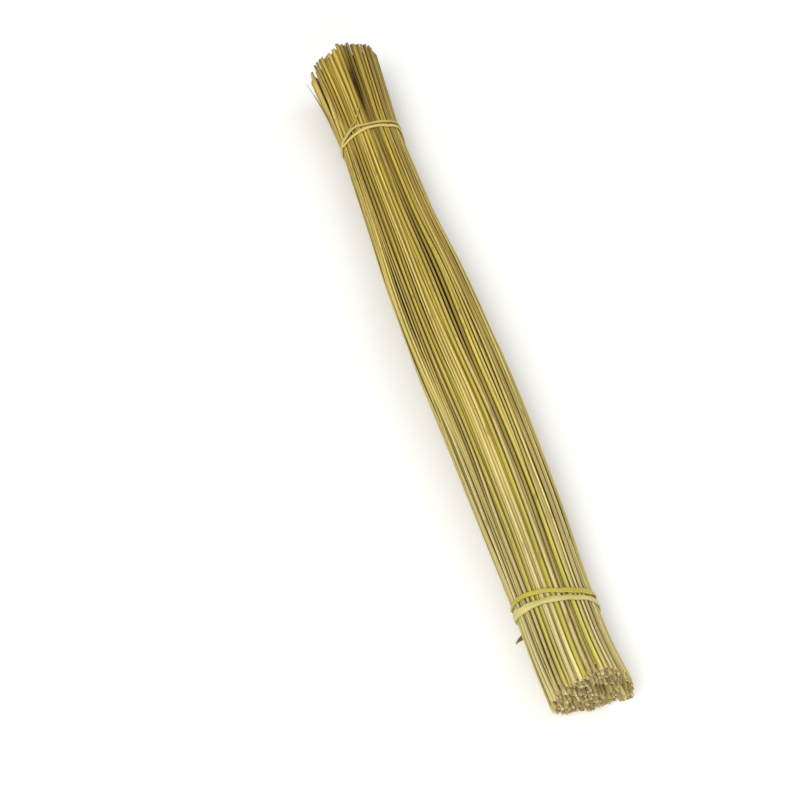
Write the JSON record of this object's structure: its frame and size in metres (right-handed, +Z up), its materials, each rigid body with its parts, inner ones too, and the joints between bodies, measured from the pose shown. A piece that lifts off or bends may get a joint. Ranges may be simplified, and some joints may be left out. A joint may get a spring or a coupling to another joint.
{
  "type": "bunch of rice straw",
  "caption": "A long slim bunch of dry rice straws, cut level at the butts, bound with a flat straw strip near each end and lying on its side.",
  "frame": {"origin": "middle of the whole bunch's box in X and Y, on the surface that it lies on", "axes": "+Y along the straws from the cut butts to the tips, +Z up, +X across the bunch"},
  "size_m": [0.0478, 0.42, 0.044],
  "materials": {
    "straw_pale": "dry beige straw, faintly ribbed, satin",
    "straw_yellow": "bright yellow straw, faintly ribbed, satin",
    "straw_olive": "olive yellow straw, faintly ribbed, satin",
    "straw_inner": "straws inside the bunch, in shade, matt",
    "tie_gold": "golden flat straw strip, fibrous",
    "tie_pale": "pale flat straw strip, fibrous"
  },
  "bodies": {
    "root": {"inner_straws": "straw_inner", "straw_01": "straw_pale", "straw_02": "straw_pale", "straw_03": "straw_yellow", "straw_04": "straw_pale", "straw_05": "straw_pale", "straw_06": "straw_olive", "straw_07": "straw_pale", "straw_08": "straw_pale", "straw_09": "straw_olive", "straw_10": "straw_yellow", "straw_11": "straw_pale", "straw_12": "straw_pale", "straw_13": "straw_yellow", "straw_14": "straw_pale", "straw_15": "straw_pale", "straw_16": "straw_olive", "straw_17": "straw_yellow", "straw_18": "straw_pale", "straw_19": "straw_olive", "straw_20": "straw_pale", "straw_21": "straw_olive", "straw_22": "straw_pale", "straw_23": "straw_yellow", "straw_24": "straw_pale", "straw_25": "straw_pale", "straw_26": "straw_yellow", "straw_27": "straw_pale", "straw_28": "straw_olive", "straw_29": "straw_olive", "straw_30": "straw_pale", "straw_31": "straw_pale", "straw_32": "straw_pale", "straw_33": "straw_pale", "straw_34": "straw_olive", "straw_35": "straw_pale", "straw_36": "straw_pale", "straw_37": "straw_yellow", "straw_38": "straw_pale", "straw_39": "straw_olive", "straw_40": "straw_pale", "straw_41": "straw_pale", "straw_42": "straw_pale", "straw_43": "straw_pale", "straw_44": "straw_pale", "straw_45": "straw_olive", "straw_46": "straw_yellow", "tie_butt": "tie_gold", "tie_tip": "tie_pale"}
  },
  "joints": []
}
